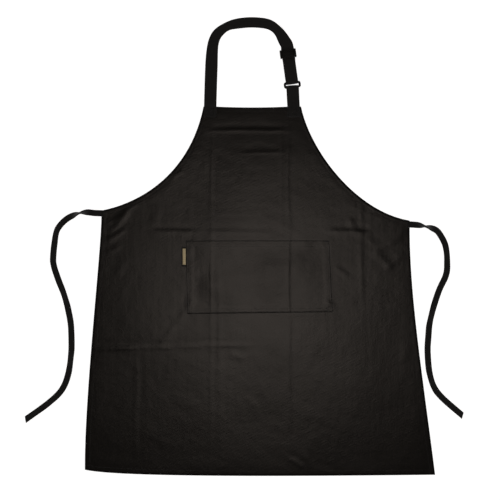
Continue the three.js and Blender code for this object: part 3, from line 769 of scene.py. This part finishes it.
# Each route runs from the waist corner to the free end, in mm.
leftTieRoute = [
    (-312, 66.5), (-330, 67), (-345, 68.5), (-359, 67), (-382, 58), (-399, 43), (-408, 24), (-413, -19),
    (-412, -38), (-403, -66), (-390, -100), (-380, -141), (-377, -172), (-377, -210), (-383, -254),
    (-396, -286), (-422, -312), (-469, -346),
]
rightTieRoute = [
    (294, 44.5), (311, 43.5), (321, 42), (330, 40), (350, 34), (361, 22), (371, 0), (374, -34),
    (371, -58), (358, -87), (347, -120), (339, -153), (336, -184), (335, -211), (338, -248), (347, -279),
    (364, -302), (405, -338),
]


def makeTie(side, points, twistAt, material):
    route = smoothRoute([(x * mm, y * mm, tieLook["height"]) for x, y in points], 1.6 * mm)
    travelled = along(route)
    near = (travelled - twistAt) / tieLook["twistLength"]
    roll = math.pi * smoothStep(near, -1, 1)
    route[:, 2] += np.abs(np.sin(roll)) * (tieLook["width"] / 2 - 0.5 * mm)
    wobble = 0.25 * np.sin(travelled / (14 * mm)) * np.sin(travelled / (37 * mm) + 1)
    roll = roll + wobble * smoothStep(travelled, 0.03, 0.08)
    route[:, 2] += np.abs(np.sin(wobble)) * tieLook["width"] / 2

    def wrinkle(s, c):
        return 0.22 * mm * np.sin(s / (5.3 * mm) + 2.5 * c) * np.sin(s / (19 * mm)) * (1 - c * c)

    # Where it turns over, the doubled cloth bunches up and is thicker.
    thick = tieLook["thick"] * (1 + 2.4 * np.exp(-(near * 1.5) ** 2))
    tie = tapeMesh(f"{side}WaistTie", route, tieLook["width"], thick, material,
                   roll=roll, wrinkle=wrinkle, slantEnd=0.5)
    joinTo(tie, "apron", f"{side}_waist_tie")
    print(side, "tie:", round(float(travelled[-1]), 4), "m")


# Gathers: distance along the strap (mm), spread (mm) and share of the width taken in.
strapLook = {"width": 25 * mm, "thick": 1.3 * mm, "gathers": [(192, 16, 0.16), (298, 18, 0.1)]}
strapClothLook = {**twillLook, "colour": "#080706", "lighter": "#0d0b0a", "roughness": 0.62}
# Turns round the ring's bars: how far the bar is from the ring's middle, then how far inside its
# bar each turn is centred, its radius and the height of its middle.
turnLook = {
    "bar": 5.2 * mm,
    "neck": (1.2 * mm, 2.6 * mm, 3.2 * mm), "buckle": (1.2 * mm, 2.5 * mm, 3.1 * mm),
}
# From the sewn end on the bib's hem, round the loop and through the slider, down to the ring, in mm.
neckRoute = [
    (-99.5, 258.5, 3), (-99.5, 268, 2.9), (-99.5, 278, 2.7), (-99.3, 287, 1.2), (-99, 300, 0.8),
    (-97.4, 351, 0.8), (-95.4, 392.2, 0.8), (-91.4, 413.2, 0.8), (-81.8, 428.6, 0.9), (-62.3, 441.3, 1),
    (-34.3, 447, 1.3), (-5.9, 447.5, 2.2), (19.1, 442.8, 3.7), (37, 429, 5), (49.1, 409.5, 5.7),
    (53.5, 401.4, 5.8), (55.9, 384.6, 5.8), (59.8, 356.4, 5.8), (63.2, 332.1, 5.8),
]


def strapFrame(node, lean):
    # A CAD strap piece's middle, and the direction in which that stretch runs up the table.
    low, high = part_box(node)
    middle = np.array([(low.x + high.x) / 2, (low.y + high.y) / 2])
    angle = math.radians(lean)
    return middle, np.array([-math.sin(angle), math.cos(angle)])


leans = {"buckle": 3.0, "ring": 7.0, "strap": 8.0}


def turnRound(bar, direction, radius, middleHeight, fromTop, count=9):
    # Half a turn round a bar, seen from the side, from the upper run to the lower one or back.
    angles = np.linspace(0, math.pi, count)
    if not fromTop:
        angles = angles[::-1]
    return [(*(bar + direction * radius * math.sin(a)), middleHeight + radius * math.cos(a)) for a in angles]


def makeNeckStrap(material):
    sliderMiddle, up = strapFrame("strap_slider", leans["strap"])
    ringMiddle, ringUp = strapFrame("strap_ring", leans["ring"])
    upperBar = ringMiddle + ringUp * turnLook["bar"]
    inset, radius, level = turnLook["neck"]
    # The strap goes down round the ring's upper bar and back under itself.
    turn = turnRound(upperBar - up * inset, -up, radius, level, True)
    back = [(*(upperBar + up * d * mm), 0.7 * mm) for d in (1.5, 4.6)]
    route = smoothRoute([*np.array(neckRoute) * mm, *turn, *back], 1.3 * mm)
    travelled = along(route)
    bend = smoothStep(travelled, 0.10, 0.17) * (1 - smoothStep(travelled, 0.29, 0.33))
    # The strap bunches up where it goes round the corners, and gathers as it enters the slider.
    width = strapLook["width"] * (1 - 0.16 * bend)
    atSlider = travelled[np.argmin(np.hypot(*(route[:, :2] - sliderMiddle).T))]
    width = width * (1 + 0.045 * np.exp(-((travelled - atSlider) / (13 * mm)) ** 4))
    for middle, spread, share in strapLook["gathers"]:
        width = width * (1 - share * np.exp(-((travelled - middle * mm) / (spread * mm)) ** 2))

    def wrinkle(s, c):
        inner = 0.5 + 0.5 * c
        cross = np.sin(s / (2.6 * mm) + 1.3 * np.sin(s / (11 * mm)) + 1.5 * c)
        nearSlider = sum(np.exp(-((s - atSlider - side * 17 * mm) / (8 * mm)) ** 2) for side in (-1, 1))
        fan = np.sin(s / (2.2 * mm) + 5 * c) * nearSlider
        long = np.sin(7 * c + 1.5 * np.sin(s / (21 * mm))) * bend
        return (0.3 * mm * cross * bend * inner + 0.16 * mm * long + 0.2 * mm * fan
                + 0.08 * mm * np.sin(s / (9 * mm) + 3 * c)) * (1 - c ** 4)

    strap = tapeMesh("neckStrap", route, width, strapLook["thick"], material,
                     wrinkle=wrinkle, steps=19)
    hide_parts("neck_strap", "neck_strap_sewn_end")
    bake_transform(strap)
    print("neck strap:", round(float(travelled[-1]), 4), "m")


def makeBuckleStrap(material):
    direction = strapFrame("buckle_strap", leans["buckle"])[1]
    ringMiddle, ringUp = strapFrame("strap_ring", leans["ring"])
    lowerBar = ringMiddle - ringUp * turnLook["bar"]
    inset, radius, level = turnLook["buckle"]
    low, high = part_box("buckle_strap_sewn_end")
    base = np.array([(low.x + high.x) / 2, bibTop])
    under = [(base[0], bibTop - 21.5 * mm, 2.6 * mm), (base[0], bibTop - 10 * mm, 2.6 * mm),
             (base[0], bibTop - 1 * mm, 2.4 * mm),
             (*(base + direction * 8 * mm), 1.0 * mm), (*(base + direction * 20 * mm), 0.7 * mm),
             (*(base + direction * 32 * mm), 0.7 * mm)]
    turn = turnRound(lowerBar + direction * inset, direction, radius, level, False)
    over = [(*(base + direction * 31 * mm), 5.3 * mm), (*(base + direction * 18 * mm), 3.8 * mm),
            (*(base + direction * 7 * mm), 3.3 * mm), (base[0], bibTop - 2 * mm, 4.0 * mm),
            (base[0], bibTop - 10 * mm, 4.1 * mm), (base[0], bibTop - 21 * mm, 4.1 * mm)]
    route = smoothRoute(under + turn + over, 1.2 * mm)
    strap = tapeMesh("buckleStrap", route, strapLook["width"], strapLook["thick"], material, steps=19,
                     wrinkle=lambda s, c: 0.1 * mm * np.sin(s / (6 * mm) + 3 * c) * (1 - c ** 4))
    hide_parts("buckle_strap", "buckle_strap_sewn_end")
    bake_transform(strap)


def makeReturnRun(material):
    middle, up = strapFrame("neck_strap_return", leans["strap"])
    half = 18.5 * mm
    route = smoothRoute([(*(middle + up * d * half), 0.72 * mm) for d in (-1, -0.4, 0.3, 1)], 1.5 * mm)
    run = tapeMesh("neckStrapReturn", route, strapLook["width"], strapLook["thick"], material, steps=19)
    joinTo(run, "neck_loop", "neck_strap_return")
    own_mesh(run)


strapStitchPitch = 2.4 * mm


def makeSliderLoop(material, thread):
    middle, up = strapFrame("strap_slider", leans["strap"])
    start = [(*(middle - up * d * mm), z * mm) for d, z in ((13.5, 0.72), (8, 0.7), (3, 0.7))]
    turn = turnRound(middle + up * 1.3 * mm, up, 1.75 * mm, 2.4 * mm, False)
    end = [(*(middle - up * d * mm), z * mm) for d, z in ((3, 4.1), (8, 2.7), (13.2, 2.05))]
    route = smoothRoute(start + turn + end, 0.9 * mm)
    loop = tapeMesh("sliderStrapLoop", route, strapLook["width"] - 0.6 * mm, 1.1 * mm, material, steps=17)
    joinTo(loop, "slider", "slider_strap_loop")
    across = np.array([up[1], -up[0]])
    line = np.array([middle - up * 12 * mm - across * 9 * mm, middle - up * 12 * mm + across * 9 * mm])
    row = stitchRow("sliderLoopStitches", line, lambda x, y: np.full(np.shape(x), 2.75 * mm), thread,
                    pitch=strapStitchPitch)
    joinTo(row, "slider", "slider_loop_thread")


def makeBoxStitches(thread):
    for name, height in (("neck_strap", 3.65 * mm), ("buckle_strap", 4.75 * mm)):
        low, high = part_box(f"{name}_sewn_end")
        x, w = (low.x + high.x) / 2, 8 * mm
        y0, y1 = bibTop - 19 * mm, bibTop - 3.5 * mm
        corners = [(x - w, y0), (x + w, y0), (x + w, y1), (x - w, y1), (x - w, y0), (x + w, y1)]
        line = np.vstack([resample(np.array([a, b]), 20) for a, b in zip(corners[:-1], corners[1:])])
        row = stitchRow(f"{name}_boxStitches", line, lambda px, py: np.full(np.shape(px), height), thread,
                        pitch=strapStitchPitch)
        joinTo(row, "apron", f"{name}_box_stitch")


ringLook = {
    "sideWire": 4.6 * mm, "barWire": 3.2 * mm, "corner": 3.4 * mm, "sections": 14,
    "outwards": 0.35 * mm,  # how far each side stands past the CAD ring's
}


def makeRing(material):
    # A closed wire loop, a little fuller at its two sides than along its bars.
    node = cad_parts["strap_ring"]
    middle, up = strapFrame("strap_ring", leans["ring"])
    across = np.array([up[1], -up[0]])
    points = np.array([v.co[:] for v in node.data.vertices])
    flat = points[:, :2] - middle
    halfWide = np.abs(flat @ across).max() + ringLook["outwards"] - ringLook["sideWire"] / 2
    halfTall = np.abs(flat @ up).max() - ringLook["barWire"] / 2
    level = (points[:, 2].min() + points[:, 2].max()) / 2
    corner = ringLook["corner"]
    outline = []
    for cx, cy, first in ((1, 1, 0), (-1, 1, 90), (-1, -1, 180), (1, -1, 270)):
        for k in range(9):
            angle = math.radians(first + k * 90 / 8)
            outline.append((cx * (halfWide - corner) + corner * math.cos(angle),
                            cy * (halfTall - corner) + corner * math.sin(angle)))
    outline = resample(np.array(outline + outline[:1]), 161)[:-1]
    ahead = np.roll(outline, -1, axis=0) - np.roll(outline, 1, axis=0)
    ahead /= np.linalg.norm(ahead, axis=1)[:, None]
    outwards = np.stack([ahead[:, 1], -ahead[:, 0]], 1)
    sideShare = smoothStep(np.abs(outwards[:, 0]), 0.2, 0.9)
    reach = (ringLook["barWire"] + (ringLook["sideWire"] - ringLook["barWire"]) * sideShare) / 2
    sections = ringLook["sections"]
    rings = []
    for k in range(sections):
        angle = 2 * math.pi * k / sections
        spot = outline + outwards * (reach * math.cos(angle))[:, None]
        place = middle + spot[:, :1] * across + spot[:, 1:] * up
        height = level + ringLook["barWire"] / 2 * math.sin(angle)
        rings.append(np.column_stack([place, np.full(len(place), height)]))
    grid = np.stack(rings, 1)
    index = np.arange(len(outline) * sections).reshape(len(outline), sections)
    following, beside = np.roll(index, -1, axis=0), np.roll(index, -1, axis=1)
    faces = np.stack([index, following, np.roll(following, -1, axis=1), beside], -1).reshape(-1, 4)
    ring = meshObject("strapRing", grid.reshape(-1, 3), faces, material)
    joinTo(ring, "ring", "strap_ring")
    print("ring made")


tableLook = {"glow": 0.91, "colour": "#f6f6f6", "roughness": 0.9, "size": 60, "level": -0.4 * mm}


def makeTable():
    bpy.ops.mesh.primitive_plane_add(size=tableLook["size"], location=(0, 0, tableLook["level"]))
    floor = bpy.context.object
    floor.name = "floor"
    material, tree = newMaterial("paintedTable")
    shader = addNode(tree, "ShaderNodeBsdfPrincipled", {
        "Base Color": toLinear(tableLook["colour"]), "Roughness": tableLook["roughness"],
        "Emission Color": (1, 1, 1, 1), "Emission Strength": tableLook["glow"]})
    finishMaterial(tree, shader)
    floor.data.materials.append(material)


lightLook = {
    "above": {"power": 2.8, "size": 0.76, "place": (0.03, -0.175, 2.2)},
    "sides": {"power": 7.0, "size": 2.2, "distance": 3.6, "height": 1.4},
    "sky": 0.012, "wall": 1.0, "warmth": (1.0, 0.87, 0.77),
}


def areaLight(name, place, size, power, target=(0, 0, 0)):
    data = bpy.data.lights.new(name, "AREA")
    data.color = lightLook["warmth"]
    data.size, data.energy = size, power
    light = bpy.data.objects.new(name, data)
    light.location = place
    light.rotation_euler = (Vector(target) - Vector(place)).to_track_quat("-Z", "Y").to_euler()
    bpy.context.scene.collection.objects.link(light)


def makeLight():
    above = lightLook["above"]
    areaLight("softboxAbove", above["place"], above["size"], above["power"], (*above["place"][:2], 0))
    sides = lightLook["sides"]
    for k in range(4):
        angle = math.radians(45 + 90 * k)
        place = (sides["distance"] * math.cos(angle), sides["distance"] * math.sin(angle), sides["height"])
        areaLight(f"softboxSide{k}", place, sides["size"], sides["power"])
    world = bpy.data.worlds.new("studio")
    bpy.context.scene.world = world
    world.use_nodes = True
    # A pale wall all round, and darkness overhead.
    tree = world.node_tree
    tree.nodes.clear()
    direction = addNode(tree, "ShaderNodeTexCoord").outputs["Generated"]
    up = addNode(tree, "ShaderNodeSeparateXYZ", {}, {0: direction})
    fade = addNode(tree, "ShaderNodeMapRange", {
        "From Min": 0.25, "From Max": 0.45, "To Min": lightLook["wall"], "To Max": lightLook["sky"]},
        {"Value": up.outputs[2]})
    background = addNode(tree, "ShaderNodeBackground", {"Color": (1, 1, 1, 1)}, {"Strength": fade.outputs[0]})
    addNode(tree, "ShaderNodeOutputWorld", {}, {"Surface": background.outputs[0]})
    bpy.context.scene.view_settings.view_transform = "Standard"
    print("light made")


makeCamera()
twill = wovenMaterial("wovenPolyesterTwill", twillLook)
strapCloth = wovenMaterial("foldedTwillStrap", strapClothLook)
tieCloth = wovenMaterial("twillTape", tieClothLook)
thread = threadMaterial()
makeTie("left", leftTieRoute, 0.047, tieCloth)
makeTie("right", rightTieRoute, 0.036, tieCloth)
makeBody(twill)
makeHemStitches(thread)
makePocket(twill, thread)
makeLabel()
makeNeckStrap(strapCloth)
makeBuckleStrap(strapCloth)
makeReturnRun(strapCloth)
makeSliderLoop(strapCloth, thread)
makeBoxStitches(thread)
acetal = acetalMaterial()
makeRing(acetal)
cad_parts["strap_slider"].data.materials.clear()
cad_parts["strap_slider"].data.materials.append(acetal)
makeTieBartacks(thread)
makeTable()
makeLight()
